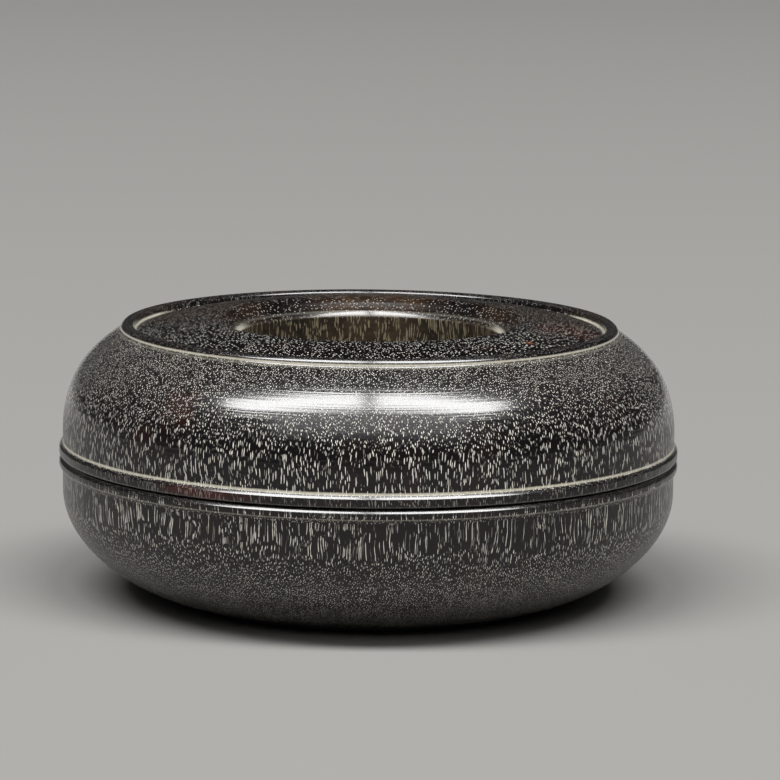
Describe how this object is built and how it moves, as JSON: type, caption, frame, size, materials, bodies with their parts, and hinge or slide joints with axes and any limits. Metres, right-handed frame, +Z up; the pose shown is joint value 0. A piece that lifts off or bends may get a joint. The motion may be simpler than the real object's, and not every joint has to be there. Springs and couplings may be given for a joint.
{
  "type": "ring-shaped lidded box",
  "caption": "Turned dark hardwood box shaped like a thick ring, with a lift-off lid, a moulded double rim at the seam and a hole through the middle.",
  "frame": {"origin": "centre of the flat ring that the box stands on", "axes": "+Z up along the turning axis and the lid's lift; X and Y across, all directions alike"},
  "size_m": [0.176, 0.176, 0.0785],
  "materials": {
    "dark_hardwood": "hand-polished and waxed, open pores filled with pale wax"
  },
  "bodies": {
    "base": {"base": "dark_hardwood"},
    "lid": {"lid": "dark_hardwood"}
  },
  "joints": [
    {"name": "lid_lift", "type": "slide", "parent": "base", "child": "lid", "axis": [0, 0, 1], "range_m": [0, 0.06]}
  ]
}
